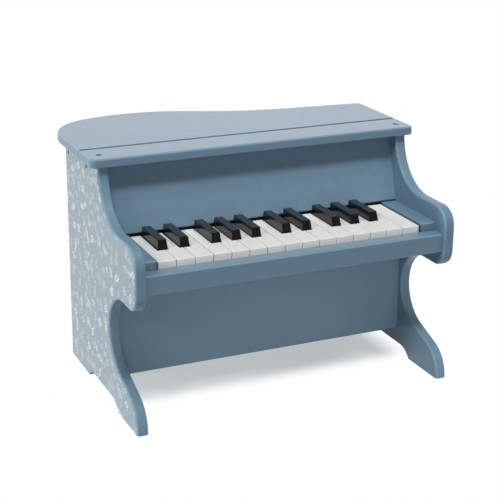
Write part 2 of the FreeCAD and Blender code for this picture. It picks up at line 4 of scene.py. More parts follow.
import bmesh
import bpy
from mathutils import Matrix, Vector, noise


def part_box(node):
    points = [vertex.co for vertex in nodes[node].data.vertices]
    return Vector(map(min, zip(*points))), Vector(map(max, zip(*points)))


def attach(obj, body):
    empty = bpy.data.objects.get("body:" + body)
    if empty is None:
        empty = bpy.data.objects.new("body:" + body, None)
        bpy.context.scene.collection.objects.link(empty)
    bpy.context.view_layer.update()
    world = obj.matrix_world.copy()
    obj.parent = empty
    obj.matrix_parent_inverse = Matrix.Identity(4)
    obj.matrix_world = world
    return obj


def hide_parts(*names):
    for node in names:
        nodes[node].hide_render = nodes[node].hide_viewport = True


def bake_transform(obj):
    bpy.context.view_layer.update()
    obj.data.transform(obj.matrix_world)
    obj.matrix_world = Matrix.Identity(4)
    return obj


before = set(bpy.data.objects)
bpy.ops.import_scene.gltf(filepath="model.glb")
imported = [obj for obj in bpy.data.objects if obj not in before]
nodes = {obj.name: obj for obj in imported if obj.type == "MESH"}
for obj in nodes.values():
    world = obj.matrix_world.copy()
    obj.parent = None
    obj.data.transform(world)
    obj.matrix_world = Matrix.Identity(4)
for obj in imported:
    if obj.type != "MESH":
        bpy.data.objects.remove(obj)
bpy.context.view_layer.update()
print("frame loaded:", len(nodes), "nodes")

midNoise = (0.3, 0.7)  # where most values of a noise texture lie


# node helpers: put adds a node, calc a maths node, both link sockets or set values
def put(tree, kind, inputs=None, **settings):
    node = tree.nodes.new(kind)
    for key, value in settings.items():
        setattr(node, key, value)
    for socket, value in (inputs or {}).items():
        if isinstance(value, bpy.types.NodeSocket):
            tree.links.new(value, node.inputs[socket])
        else:
            node.inputs[socket].default_value = value
    return node


def feed(tree, shader, inputs):
    for socket, value in inputs.items():
        tree.links.new(value, shader.inputs[socket])


def calc(tree, operation, a, b=0.0, c=0.0):
    return put(tree, "ShaderNodeMath", {0: a, 1: b, 2: c}, operation=operation).outputs[0]


def weighed(tree, a, shareA, b, shareB):
    return calc(tree, "ADD", calc(tree, "MULTIPLY", a, shareA), calc(tree, "MULTIPLY", b, shareB))


def ramp(tree, value, low, high, toLow=0.0, toHigh=1.0):
    inputs = {"Value": value, "From Min": low, "From Max": high, "To Min": toLow, "To Max": toHigh}
    return put(tree, "ShaderNodeMapRange", inputs, interpolation_type="SMOOTHSTEP").outputs["Result"]


def grains(tree, place, scale, detail=2.0, rough=0.5):
    inputs = {"Vector": place, "Scale": scale, "Detail": detail, "Roughness": rough}
    return put(tree, "ShaderNodeTexNoise", inputs).outputs[0]


def splitAxes(tree, vector):
    return put(tree, "ShaderNodeSeparateXYZ", {0: vector}).outputs


def stretched(tree, place, scale):
    return put(tree, "ShaderNodeMapping", {"Vector": place, "Scale": scale}).outputs[0]


def bumped(tree, height, look):
    inputs = {"Height": height, "Strength": look["bump"], "Distance": look["bumpDepth"]}
    return put(tree, "ShaderNodeBump", inputs).outputs[0]


def blendColour(tree, share, a, b):
    return put(tree, "ShaderNodeMix", {0: share, 6: a, 7: b}, data_type="RGBA").outputs[2]


def colour(red, green, blue):
    # screen values 0..255 to the linear values that Blender works in, by the sRGB curve
    levels = [level / 255 for level in (red, green, blue)]
    linear = [((c + 0.055) / 1.055) ** 2.4 if c > 0.04 else c / 12.92 for c in levels]
    return (*linear, 1.0)


def shaded(base, share):
    return (*[c * share for c in base[:3]], 1.0)


def unevenColour(tree, share, base, spread):
    # from a little darker than the base to a little lighter
    return blendColour(tree, share, shaded(base, 1 - spread), shaded(base, 1 + spread))


def emptyTree(owner):
    owner.use_nodes = True
    owner.node_tree.nodes.clear()
    return owner.node_tree


def startMaterial(name, look):
    mat = bpy.data.materials.new(name)
    tree = emptyTree(mat)
    shader = put(tree, "ShaderNodeBsdfPrincipled", look["shader"])
    put(tree, "ShaderNodeOutputMaterial", {0: shader.outputs[0]})
    coords = put(tree, "ShaderNodeTexCoord").outputs
    return mat, tree, shader, coords


# satin paint on fibreboard: cloudy tone, roller stipple, and rounded arrises made lighter, partly thinner
# worn paint and partly a painted highlight where they catch the light
paintLook = {
    "body": colour(102, 129, 148),
    "tone": {"scale": 11.0, "detail": 3.0}, "toneSpread": 0.025,
    "blotch": {"scale": 90.0, "detail": 4.0, "rough": 0.6}, "blotchSpread": 0.015,
    "stipple": {"scale": 1500.0, "detail": 2.0, "rough": 0.45}, "bump": 0.05, "bumpDepth": 0.0002,
    "arrisStart": (0.12, 0.5), "arrisEnd": (0.99, 0.8), "arrisLeast": 0.4, "arrisLift": 0.26,
    "rough": (0.40, 0.50), "grooveShade": 0.50,
    "glossFrom": 0.30, "glossFull": 0.62, "glossWeight": 0.94, "sideGloss": 0.40, "upward": (0.3, 0.9),
    "shader": {"Specular IOR Level": 0.25, "IOR": 1.5, "Coat IOR": 1.5, "Coat Roughness": 0.28},
}


def lacquer(tree, look, share=None):
    # shines at flat angles only; share lessens it on some faces
    facing = put(tree, "ShaderNodeLayerWeight").outputs["Facing"]
    gloss = ramp(tree, facing, look["glossFrom"], look["glossFull"], 0.0, look["glossWeight"])
    return gloss if share is None else calc(tree, "MULTIPLY", gloss, share)


def paintColour(tree, coords, arrisAxis, look=paintLook):
    tone = grains(tree, coords["Object"], **look["tone"])
    blotch = grains(tree, coords["Object"], **look["blotch"])
    spread = look["toneSpread"] + look["blotchSpread"]
    toneShare = look["toneSpread"] / spread
    flat = unevenColour(tree, weighed(tree, tone, toneShare, blotch, 1 - toneShare), look["body"], spread)
    lean = calc(tree, "ABSOLUTE", splitAxes(tree, coords["Normal"])[arrisAxis])
    arrisStart = ramp(tree, lean, *look["arrisStart"])
    onArris = calc(tree, "MULTIPLY", arrisStart, ramp(tree, lean, *look["arrisEnd"]))
    # lighter arrises: part wear of the thin paint there, part painted highlight standing in for the glints on
    # the rounding
    wornAndLitArris = calc(tree, "MULTIPLY", onArris, ramp(tree, blotch, *midNoise, look["arrisLeast"], 1.0))
    return blendColour(tree, wornAndLitArris, flat, shaded(look["body"], 1 + look["arrisLift"])), blotch


def finishPaint(tree, shader, coords, painted, blotch, rough, glossShare, look=paintLook):
    stipple = grains(tree, coords["Object"], **look["stipple"])
    feed(tree, shader, {"Base Color": painted,
                        "Roughness": ramp(tree, blotch, *midNoise, *rough),
                        "Coat Weight": lacquer(tree, look, glossShare),
                        "Normal": bumped(tree, stipple, look)})


def paintedShadeMask(tree, coords, band):
    # 1 in the deep groove and on the block's face beside the keys: painted shade, where the paint is darkened
    # as if shade falls in the narrow gap
    axes = splitAxes(tree, coords["Object"])
    across = axes[band["axis"]]
    if band["bothSides"]:
        across = calc(tree, "ABSOLUTE", across)
    away = calc(tree, "ABSOLUTE", calc(tree, "SUBTRACT", across, band["middle"]))
    near = ramp(tree, away, band["reach"], band["reach"] * band["core"])
    deep = calc(tree, "MULTIPLY", near, ramp(tree, axes[2], band["top"], band["top"] - band["depth"]))
    along = calc(tree, "ABSOLUTE", axes[0])
    return calc(tree, "MULTIPLY", deep, ramp(tree, along, band["within"] + band["endFade"], band["within"]))


def paintMaterial(name, arrisAxis, band=None, polishedTop=False, look=paintLook):
    mat, tree, shader, coords = startMaterial(name, look)
    painted, blotch = paintColour(tree, coords, arrisAxis)
    glossShare = None
    if band:
        shadeMask = paintedShadeMask(tree, coords, band)
        # painted shade in the seam groove and on the blocks' faces beside the keys
        painted = blendColour(tree, shadeMask, painted, shaded(look["body"], look["grooveShade"]))
    if polishedTop:  # the boards of the top, with the seam as their band
        upward = ramp(tree, splitAxes(tree, coords["Normal"])[2], *look["upward"], look["sideGloss"], 1.0)
        glossShare = calc(tree, "MULTIPLY", upward, calc(tree, "SUBTRACT", 1.0, shadeMask))
    finishPaint(tree, shader, coords, painted, blotch, look["rough"], glossShare)
    return mat


# outer faces of the side panels: light print of lozenges, dashes and dots, sizes in metres
printLook = {
    "ground": colour(126, 142, 151), "soft": colour(162, 177, 187), "pale": colour(194, 200, 204),
    "groundTone": {"scale": 150.0, "detail": 3.0}, "groundSpread": 0.03,
    "inkGrain": {"scale": 520.0, "detail": 3.0}, "inkRange": (0.30, 0.55), "inkLeast": 0.5,
    "inFromFace": 0.0002, "fade": 0.0005, "rough": (0.44, 0.56), "gloss": 0.40, "innerGloss": 0.45,
    "layers": [
        {"motif": "lozenge", "cell": 0.0225, "jitter": 0.60, "length": 0.0078, "width": 0.0,
         "filled": 0.90, "pale": 0.46, "move": 0.013},
        {"motif": "trio", "cell": 0.0175, "jitter": 0.75, "length": 0.0054, "width": 0.0011,
         "filled": 0.78, "pale": 0.26, "move": 0.071},
        {"motif": "dash", "cell": 0.0140, "jitter": 0.85, "length": 0.0036, "width": 0.0011,
         "filled": 0.50, "pale": 0.12, "move": 0.137},
        {"motif": "dot", "cell": 0.0100, "jitter": 0.90, "length": 0.0012, "width": 0.0,
         "filled": 0.40, "pale": 0.34, "move": 0.219},
    ],
    "moveRise": 2.3, "lozengeWide": 0.62, "lozengeRim": (0.26, 0.14), "lozengeCore": (0.30, 0.20),
    "trioShift": 2.4, "trioShort": 0.65, "strokeEdge": 0.4, "dotCore": 0.65,
}


def strokeMask(tree, x, y, length, width):
    # slim brush stroke along y, pointed at both ends
    along = calc(tree, "DIVIDE", y, length)
    room = calc(tree, "SUBTRACT", 1.0, calc(tree, "MULTIPLY", along, along))
    across = calc(tree, "DIVIDE", calc(tree, "ABSOLUTE", x), width)
    return ramp(tree, calc(tree, "SUBTRACT", room, across), 0.0, printLook["strokeEdge"])


def vectorMath(tree, operation, inputs):
    return put(tree, "ShaderNodeVectorMath", inputs, operation=operation).outputs


def motifMask(tree, flat, layer, look=printLook):
    # one motif in each cell, turned at random, some cells left empty
    cell = layer["cell"]
    length, width = layer["length"] / cell, layer["width"] / cell
    moved = vectorMath(tree, "ADD", {0: flat, 1: (layer["move"], look["moveRise"] * layer["move"], 0.0)})[0]
    scaled = vectorMath(tree, "SCALE", {0: moved, "Scale": 1.0 / cell})[0]
    inputs = {"Vector": scaled, "Scale": 1.0, "Randomness": layer["jitter"]}
    cells = put(tree, "ShaderNodeTexVoronoi", inputs, voronoi_dimensions="2D")
    local = vectorMath(tree, "SUBTRACT", {0: scaled, 1: cells.outputs["Position"]})[0]
    chance = put(tree, "ShaderNodeSeparateColor", {0: cells.outputs["Color"]}).outputs
    angle = calc(tree, "MULTIPLY", chance[0], 2 * math.pi)
    inputs = {"Vector": local, "Axis": (0.0, 0.0, 1.0), "Angle": angle}
    turned = splitAxes(tree, put(tree, "ShaderNodeVectorRotate", inputs).outputs[0])
    x, y = turned[0], turned[1]
    if layer["motif"] == "lozenge":  # outline and small core
        wide = calc(tree, "DIVIDE", calc(tree, "ABSOLUTE", x), look["lozengeWide"])
        size = calc(tree, "DIVIDE", calc(tree, "ADD", wide, calc(tree, "ABSOLUTE", y)), length)
        fromRim = calc(tree, "ABSOLUTE", calc(tree, "SUBTRACT", size, 1 - look["lozengeRim"][0]))
        rim = ramp(tree, fromRim, *look["lozengeRim"])
        shape = calc(tree, "MAXIMUM", rim, ramp(tree, size, *look["lozengeCore"]))
    elif layer["motif"] == "dot":
        away = vectorMath(tree, "LENGTH", {0: local})["Value"]
        shape = ramp(tree, away, length, length * look["dotCore"])
    else:
        shape = strokeMask(tree, x, y, length, width)
    if layer["motif"] == "trio":  # a shorter dash on each side of the first
        for shift in (-look["trioShift"], look["trioShift"]):
            beside = calc(tree, "ADD", x, shift * width)
            mark = strokeMask(tree, beside, y, length * look["trioShort"], width)
            shape = calc(tree, "MAXIMUM", shape, mark)
    used = calc(tree, "LESS_THAN", chance[1], layer["filled"])
    pale = calc(tree, "LESS_THAN", chance[2], layer["pale"])
    return calc(tree, "MULTIPLY", shape, used), pale


def printMaterial(name, side, look=printLook):
    mat, tree, shader, coords = startMaterial(name, paintLook)
    painted, blotch = paintColour(tree, coords, 0)
    axes = splitAxes(tree, coords["Object"])
    flat = put(tree, "ShaderNodeCombineXYZ", {0: axes[1], 1: axes[2]}).outputs[0]
    tone = grains(tree, coords["Object"], **look["groundTone"])
    pattern = unevenColour(tree, tone, look["ground"], look["groundSpread"])
    inkGrain = grains(tree, coords["Object"], **look["inkGrain"])
    ink = ramp(tree, inkGrain, *look["inkRange"], look["inkLeast"], 1.0)
    for layer in reversed(look["layers"]):
        mask, pale = motifMask(tree, flat, layer)
        inkColour = blendColour(tree, pale, look["soft"], look["pale"])
        pattern = blendColour(tree, calc(tree, "MULTIPLY", mask, ink), pattern, inkColour)
    outward = calc(tree, "MULTIPLY", axes[0], side)
    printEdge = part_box("right_side_panel")[1].x - look["inFromFace"]
    onFace = ramp(tree, outward, printEdge - look["fade"], printEdge)
    glossShare = ramp(tree, onFace, 0.0, 1.0, look["innerGloss"], look["gloss"])
    printed = blendColour(tree, onFace, painted, pattern)
    finishPaint(tree, shader, coords, printed, blotch, look["rough"], glossShare)
    return mat


# moulded keys: fine spark-eroded grain, faint flow marks along the key
keyLook = {
    "flowDetail": {"detail": 4.0, "rough": 0.55}, "flowShare": 0.7, "grainShare": 0.3,
    "white": {"base": colour(231, 231, 228), "spread": 0.02, "rough": (0.30, 0.40), "flow": (60.0, 9.0, 40.0),
              "grain": 2600.0, "bump": 0.05, "bumpDepth": 0.0001,
              "shader": {"Specular IOR Level": 0.5, "Subsurface Weight": 0.3, "Subsurface Scale": 0.003,
                         "Subsurface Radius": (1.0, 1.0, 1.0)}},
    "black": {"base": colour(12, 12, 13), "spread": 0.12, "rough": (0.34, 0.46), "flow": (90.0, 14.0, 60.0),
              "grain": 1900.0, "bump": 0.10, "bumpDepth": 0.0001,
              "glossFrom": 0.22, "glossFull": 0.60, "glossWeight": 0.72,
              "shader": {"Specular IOR Level": 0.10, "Coat IOR": 1.5, "Coat Roughness": 0.10}},
}


def keyMaterial(name, look):
    mat, tree, shader, coords = startMaterial(name, look)
    flow = grains(tree, stretched(tree, coords["Object"], look["flow"]), 1.0, **keyLook["flowDetail"])
    grain = grains(tree, coords["Object"], look["grain"])
    mixed = weighed(tree, flow, keyLook["flowShare"], grain, keyLook["grainShare"])
    feed(tree, shader, {"Base Color": unevenColour(tree, mixed, look["base"], look["spread"]),
                        "Roughness": ramp(tree, flow, *midNoise, *look["rough"]),
                        "Normal": bumped(tree, grain, look)})
    if "glossWeight" in look:
        feed(tree, shader, {"Coat Weight": lacquer(tree, look)})
    return mat


# bare sanded wood of the hidden rails, grain along X
woodLook = {
    "early": colour(214, 184, 142), "late": colour(176, 136, 92), "lateFrom": (0.35, 0.68),
    "rings": (5.0, 130.0, 130.0), "ringDetail": {"detail": 5.0, "rough": 0.6}, "ringShare": 0.75,
    "fibre": (40.0, 900.0, 900.0), "fibreShare": 0.25, "rough": (0.55, 0.75),
    "bump": 0.15, "bumpDepth": 0.0002, "shader": {"Specular IOR Level": 0.3},
}


def woodMaterial(name, look=woodLook):
    mat, tree, shader, coords = startMaterial(name, look)
    rings = grains(tree, stretched(tree, coords["Object"], look["rings"]), 1.0, **look["ringDetail"])
    fibre = grains(tree, stretched(tree, coords["Object"], look["fibre"]), 1.0)
    streak = ramp(tree, weighed(tree, rings, look["ringShare"], fibre, look["fibreShare"]), *look["lateFrom"])
    feed(tree, shader, {"Base Color": blendColour(tree, streak, look["early"], look["late"]),
                        "Roughness": ramp(tree, fibre, *midNoise, *look["rough"]),
                        "Normal": bumped(tree, fibre, look)})
    return mat


# felt: matted fibres, uneven tone
feltLook = {
    "tufts": {"scale": 700.0, "detail": 5.0, "rough": 0.7}, "tuftShare": 0.7,
    "strands": (900.0, 1700.0, 1700.0), "strandShare": 0.6,
    "lightFrom": (0.3, 0.8), "bump": 0.6, "bumpDepth": 0.0004,
    "black": {"low": colour(12, 12, 13), "high": colour(34, 34, 36),
              "shader": {"Sheen Weight": 0.25, "Sheen Roughness": 0.6, "Specular IOR Level": 0.1,
                         "Roughness": 0.95}},
    "red": {"low": colour(96, 18, 22), "high": colour(150, 36, 38),
            "shader": {"Sheen Weight": 0.4, "Sheen Roughness": 0.6, "Specular IOR Level": 0.1,
                       "Roughness": 0.95}},
}


def feltMaterial(name, look):
    mat, tree, shader, coords = startMaterial(name, look)
    tufts = grains(tree, coords["Object"], **feltLook["tufts"])
    inputs = {"Vector": stretched(tree, coords["Object"], feltLook["strands"]), "Scale": 1.0}
    strands = put(tree, "ShaderNodeTexVoronoi", inputs, feature="DISTANCE_TO_EDGE").outputs[0]
    matted = weighed(tree, tufts, feltLook["tuftShare"], strands, feltLook["strandShare"])
    light = ramp(tree, matted, *feltLook["lightFrom"])
    feed(tree, shader, {"Base Color": blendColour(tree, light, look["low"], look["high"]),
                        "Normal": bumped(tree, matted, feltLook)})
    return mat


# metals: zinc-plated wire and screws, pale screws of the top whose light tone is a painted highlight lifting
# them in their shaded recesses, rolled chime bars, dark side screws
metalLook = {
    "brushDetail": {"detail": 4.0, "rough": 0.6}, "bump": 0.08, "bumpDepth": 0.0001,
    "zinc": {"low": colour(128, 130, 134), "high": colour(176, 178, 182), "brush": (260.0, 260.0, 260.0),
             "rough": (0.30, 0.48), "shader": {"Metallic": 1.0}},
    # painted highlight: the top's screws get a pale, bluish tone so they read lit inside their shaded
    # recesses
    "pale": {"low": colour(150, 168, 180), "high": colour(184, 198, 208), "brush": (260.0, 260.0, 260.0),
             "rough": (0.38, 0.52), "shader": {"Metallic": 0.4}},
    "bar": {"low": colour(150, 152, 156), "high": colour(196, 198, 202), "brush": (900.0, 40.0, 900.0),
            "rough": (0.22, 0.38), "shader": {"Metallic": 1.0}},
    "dark": {"low": colour(48, 52, 58), "high": colour(84, 88, 94), "brush": (500.0, 500.0, 500.0),
             "rough": (0.36, 0.55), "shader": {"Metallic": 1.0}},
}


def metalMaterial(name, look):
    mat, tree, shader, coords = startMaterial(name, look)
    brushed = grains(tree, stretched(tree, coords["Object"], look["brush"]), 1.0, **metalLook["brushDetail"])
    feed(tree, shader, {"Base Color": blendColour(tree, brushed, look["low"], look["high"]),
                        "Roughness": ramp(tree, brushed, *midNoise, *look["rough"]),
                        "Normal": bumped(tree, brushed, metalLook)})
    return mat


# painted shade: darker paint in the seam between the boards of the top and on the key blocks' faces beside
# the keys, standing in for the shade in these narrow gaps
stripRear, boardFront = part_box("top_front_strip")[1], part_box("top_rear_board")[0]
seamShadeBand = {"axis": 1, "bothSides": False, "middle": (stripRear.y + boardFront.y) / 2, "reach": 0.0036,
            "core": 0.8, "top": stripRear.z, "depth": 0.0004, "within": 0.195, "endFade": 0.003}
blockLow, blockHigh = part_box("right_key_block")
blockShadeBelowTop = 0.001  # the painted shade on the block's face begins this far below its top
blockShadeBand = {"axis": 0, "bothSides": True, "middle": blockLow.x, "reach": 0.0005,
             "core": 0.8, "top": blockHigh.z - blockShadeBelowTop, "depth": 0.002, "within": 1.0, "endFade": 0.003}
finishes = {
    "panelLeft": printMaterial("leftPanelPrint", -1.0),
    "panelRight": printMaterial("rightPanelPrint", 1.0),
    "topPaint": paintMaterial("topPaint", 2, seamShadeBand, polishedTop=True),
    "boardPaint": paintMaterial("boardPaint", 2),
    "blockPaint": paintMaterial("blockPaint", 2, blockShadeBand),
    "white": keyMaterial("whiteKeyPlastic", keyLook["white"]),
    "black": keyMaterial("blackKeyPlastic", keyLook["black"]),
    "wood": woodMaterial("bareWood"),
    "blackFelt": feltMaterial("blackFelt", feltLook["black"]),
    "redFelt": feltMaterial("redFelt", feltLook["red"]),
    "zinc": metalMaterial("zincSteel", metalLook["zinc"]),
    "pale": metalMaterial("paleScrewSteel", metalLook["pale"]),
    "bar": metalMaterial("chimeSteel", metalLook["bar"]),
    "dark": metalMaterial("darkScrewSteel", metalLook["dark"]),
}
print("materials made:", len(finishes))


def dress(name, finish):
    obj = nodes[name]
    if not obj.material_slots:
        obj.data.materials.append(finishes[finish])
    for slot in obj.material_slots:
        slot.material = finishes[finish]


nodeFinish = {
    "panelLeft": ["left_side_panel"],
    "panelRight": ["right_side_panel"],
    "topPaint": ["top_front_strip", "top_rear_board", "seam_rail"],
    "boardPaint": ["fallboard", "key_slip", "knee_panel", "back_panel"],
    "blockPaint": ["left_key_block", "right_key_block"],
    "wood": ["key_bed", "back_rail", "top_dowels", "key_rest_rail", "chime_front_rail", "chime_rear_rail",
             "chime_hold_down_strip", "spring_clamp_bar"],
    "zinc": ["key_pivot_rod", "chime_pins"],
    "bar": ["chime_bars"],
    "black": ["white_key_guide_comb", "black_key_guide_comb"],
}
for finish, names in nodeFinish.items():
    for name in names:
        dress(name, finish)
keyNames = sorted(name for name in nodes if name.startswith("key_") and name[-1].isdigit())
for name in keyNames:
    dress(name, "black" if "sharp" in name else "white")
print("CAD nodes dressed:", sum(len(n) for n in nodeFinish.values()) + len(keyNames))


# mesh helpers
cornerMost = 0.8  # largest soft corner, as a share of half the thickness


def show(obj):
    bpy.context.scene.collection.objects.link(obj)


def spanOf(points):
    low = Vector([min(p[i] for p in points) for i in range(3)])
    high = Vector([max(p[i] for p in points) for i in range(3)])
    return low, high


def roundedProfile(halfWide, halfHigh, look):
    # points round a rectangle with soft corners, no two further apart than the step
    radius = min(look["corner"], halfWide * cornerMost, halfHigh * cornerMost)
    corners = []
    for signU, signV, start in ((1, -1, -90), (1, 1, 0), (-1, 1, 90), (-1, -1, 180)):
        for k in range(look["cornerSteps"] + 1):
            angle = math.radians(start + 90 * k / look["cornerSteps"])
            corners.append((signU * (halfWide - radius) + radius * math.cos(angle),
                            signV * (halfHigh - radius) + radius * math.sin(angle)))
    points = []
    for (u0, v0), (u1, v1) in zip(corners, corners[1:] + corners[:1]):
        count = max(1, math.ceil(math.hypot(u1 - u0, v1 - v0) / look["step"]))
        points += [(u0 + (u1 - u0) * k / count, v0 + (v1 - v0) * k / count) for k in range(count)]
    return points


def bridge(work, rings):
    for near, far in zip(rings, rings[1:]):
        for k in range(len(near)):
            work.faces.new((near[k - 1], near[k], far[k], far[k - 1]))


def loft(work, rings):
    bridge(work, rings)
    work.faces.new(rings[0])
    work.faces.new(rings[-1])


def addPiece(name, work, finish, replaced=None, creaseAngle=35.0, bends=None):
    bmesh.ops.recalc_face_normals(work, faces=work.faces)
    mesh = bpy.data.meshes.new(name)
    work.to_mesh(mesh)
    work.free()
    mesh.polygons.foreach_set("use_smooth", [True] * len(mesh.polygons))
    mesh.set_sharp_from_angle(angle=math.radians(creaseAngle))
    mesh.materials.append(finishes[finish])
    piece = bpy.data.objects.new(name, mesh)
    show(piece)
    if bends:
        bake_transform(piece)
    else:
        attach(piece, "case")
    if replaced:
        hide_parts(replaced)


# felt strips: soft corners and a matted, uneven skin, each where the CAD strip lies
feltShape = {
    "step": 0.0025, "corner": 0.0007, "cornerSteps": 3, "matted": 0.00014, "matScale": 420.0, "crease": 60.0,
    "ends": [(0.0, 0.5), (0.35, 0.15), (1.0, 0.0)],  # way in and inset there, as shares of the corner
}
feltStrips = {
    "fallboard_felt": {"piece": "fallboardFeltStrip", "finish": "blackFelt", "slot": "black_felt"},
    "white_key_stop_felt": {"piece": "whiteStopFeltStrip", "finish": "redFelt", "slot": "action_felt"},
    "black_key_stop_felt": {"piece": "blackStopFeltStrip", "finish": "redFelt", "slot": "action_felt"},
    "key_rest_felt": {"piece": "keyRestFeltStrip", "finish": "redFelt", "slot": "action_felt"},
    "chime_front_felt": {"piece": "chimeFrontFeltStrip", "finish": "redFelt", "slot": "action_felt"},
    "chime_rear_felt": {"piece": "chimeRearFeltStrip", "finish": "redFelt", "slot": "action_felt"},
}


def feltEnd(corners, x):
    low, high = spanOf([p for p in corners if abs(p.x - x) < feltShape["step"]])
    return (low + high) / 2, (high - low) / 2


def feltStrip(node, look, shape=feltShape):
    corners = [v.co for v in nodes[node].data.vertices]
    startMiddle, half = feltEnd(corners, min(p.x for p in corners))
    endMiddle = feltEnd(corners, max(p.x for p in corners))[0]
    length = endMiddle.x - startMiddle.x
    count = round(length / shape["step"])
    inner = [(k * length / count, 0.0) for k in range(1, count)]
    ends = [(way * shape["corner"], inset * shape["corner"]) for way, inset in shape["ends"]]
    stations = ends + inner + [(length - way, inset) for way, inset in reversed(ends)]
    profile = roundedProfile(half.y, half.z, shape)
    work = bmesh.new()
    rings = []
    for way, inset in stations:
        middle = startMiddle.lerp(endMiddle, way / length)
        ring = []
        for y, z in profile:
            spot = middle + Vector((0.0, y, z))
            matted = 0.5 + 0.5 * noise.noise(spot * shape["matScale"])  # 0 to 1
            sunk = inset + shape["matted"] * matted
            skin = Vector((0.0, y * (1 - sunk / half.y), z * (1 - sunk / half.z)))
            ring.append(work.verts.new(middle + skin))
        rings.append(ring)
    loft(work, rings)
    addPiece(look["piece"], work, look["finish"], node, shape["crease"])


for node, look in feltStrips.items():
    feltStrip(node, look)
print("felt strips laid:", len(feltStrips))


# painted filler that closes the seam at the two end faces of the top
seamFiller = {"piece": "seamFiller_", "ends": {"left": -1.0, "right": 1.0}, "inFromEnd": 0.0001,
              "length": 0.0035, "belowTop": 0.0019, "aboveUnderside": 0.0002,
              "corner": 0.0010, "cornerSteps": 4, "step": 0.0025}


def addSeamFiller(end, side, look):
    low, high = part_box("top_front_strip")
    bottom, top = low.z + look["aboveUnderside"], high.z - look["belowTop"]
    halfLong = look["length"] / 2
    middle = Vector((side * (high.x - look["inFromEnd"] - halfLong), 0.0, (bottom + top) / 2))
    profile = roundedProfile(halfLong, (top - bottom) / 2, look)
    work = bmesh.new()
    rings = []
    for y in (stripRear.y, boardFront.y):
        rings.append([work.verts.new(middle + Vector((x, y, z))) for x, z in profile])
    loft(work, rings)
    addPiece(look["piece"] + end, work, "topPaint")


for end, side in seamFiller["ends"].items():
    addSeamFiller(end, side, seamFiller)
print("seam ends filled:", len(seamFiller["ends"]))


# screws: turned from the CAD profile, with a broken rim and a tapered cross recess
screwShape = {"facets": 32, "rim": 0.00015, "taper": 0.55, "seed": 11, "weld": 1e-6,
              "lengthDigits": 5, "radiusDigits": 4}
screwSets = {
    "strip_screws": {"piece": "stripScrewSet", "finish": "pale", "axis": (0.0, 0.0, 1.0),
                     "bothSides": False, "arm": 0.00130, "halfWidth": 0.00038, "depth": 0.0012},
    "side_screws": {"piece": "sideScrewSet", "finish": "dark", "axis": (1.0, 0.0, 0.0),
                    "bothSides": True, "arm": 0.00130, "halfWidth": 0.00038, "depth": 0.0012},
    "back_panel_screws": {"piece": "backScrewSet", "finish": "zinc", "axis": (0.0, 1.0, 0.0),
                          "bothSides": False, "arm": 0.00135, "halfWidth": 0.00042, "depth": 0.0012},
}


def islandPlace(island):
    return tuple(round(c, screwShape["lengthDigits"]) for c in spanOf(island)[0])


def looseIslands(mesh):
    # the points of each separate screw, in a fixed order of their places
    work = bmesh.new()
    work.from_mesh(mesh)
    bmesh.ops.remove_doubles(work, verts=work.verts, dist=screwShape["weld"])
    for vert in work.verts:
        vert.tag = False
    islands = []
    for first in work.verts:
        if first.tag:
            continue
        first.tag = True
        waiting, island = [first], []
        while waiting:
            vert = waiting.pop()
            island.append(vert.co.copy())
            for edge in vert.link_edges:
                other = edge.other_vert(vert)
                if not other.tag:
                    other.tag = True
                    waiting.append(other)
        islands.append(island)
    work.free()
    return sorted(islands, key=islandPlace)


def addScrew(work, spots, outward, look, turn, shape=screwShape):
    low, high = spanOf(spots)
    centre = (low + high) / 2
    side = outward.orthogonal().normalized()
    other = outward.cross(side)

    def at(along, u, v):
        return work.verts.new(centre + outward * along + side * u + other * v)

    steps = set()
    for p in spots:
        along = (p - centre).dot(outward)
        radius = (p - centre - outward * along).length
        steps.add((round(along, shape["lengthDigits"]), round(radius, shape["radiusDigits"])))
    (headAlong, headRadius), *rest = sorted(steps, reverse=True)
    head = [(headAlong, headRadius - shape["rim"]), (headAlong - shape["rim"], headRadius)]
    angles = [2 * math.pi * k / shape["facets"] for k in range(shape["facets"])]
    rings = []
    for along, radius in head + rest:
        rings.append([at(along, radius * math.cos(a), radius * math.sin(a)) for a in angles])
    bridge(work, rings)
    work.faces.new(rings[-1])
    # cross recess: its mouth in the head's face, a smaller bed below
    a, w = look["arm"], look["halfWidth"]
    outline = [(a, w), (w, w), (w, a), (-w, a), (-w, w), (-a, w),
               (-a, -w), (-w, -w), (-w, -a), (w, -a), (w, -w), (a, -w)]
    cosine, sine = math.cos(turn), math.sin(turn)
    cross = [(x * cosine - y * sine, x * sine + y * cosine) for x, y in outline]
    mouth = [at(headAlong, u, v) for u, v in cross]
    bed = [at(headAlong - look["depth"], shape["taper"] * u, shape["taper"] * v) for u, v in cross]
    bridge(work, [mouth, bed])
    work.faces.new(bed)
    edges = [work.edges.get((loop[k - 1], loop[k])) for loop in (rings[0], mouth) for k in range(len(loop))]
    bmesh.ops.triangle_fill(work, use_beauty=True, use_dissolve=False, edges=edges, normal=outward)


screwTurns = random.Random(screwShape["seed"])
for node, look in screwSets.items():
    work = bmesh.new()
    for spots in looseIslands(nodes[node].data):
        outward = Vector(look["axis"])
        if look["bothSides"] and spots[0].x < 0:
            outward = -outward
        addScrew(work, spots, outward, look, screwTurns.uniform(0.0, math.pi / 2))
    addPiece(look["piece"], work, look["finish"], node)
print("screw sets turned:", len(screwSets))


# return springs: a clamped strip and a tongue under each key, each tongue built in its rest shape
springLook = {"strip": "springStrip", "tongue": "springTongue_", "finish": "zinc", "step": 0.0025,
              "corner": 0.00012, "cornerSteps": 2, "rootLap": 0.0003, "tipRadius": 0.0022, "tipSteps": 5,
              "joinGap": 1e-5, "sideDigits": 5}


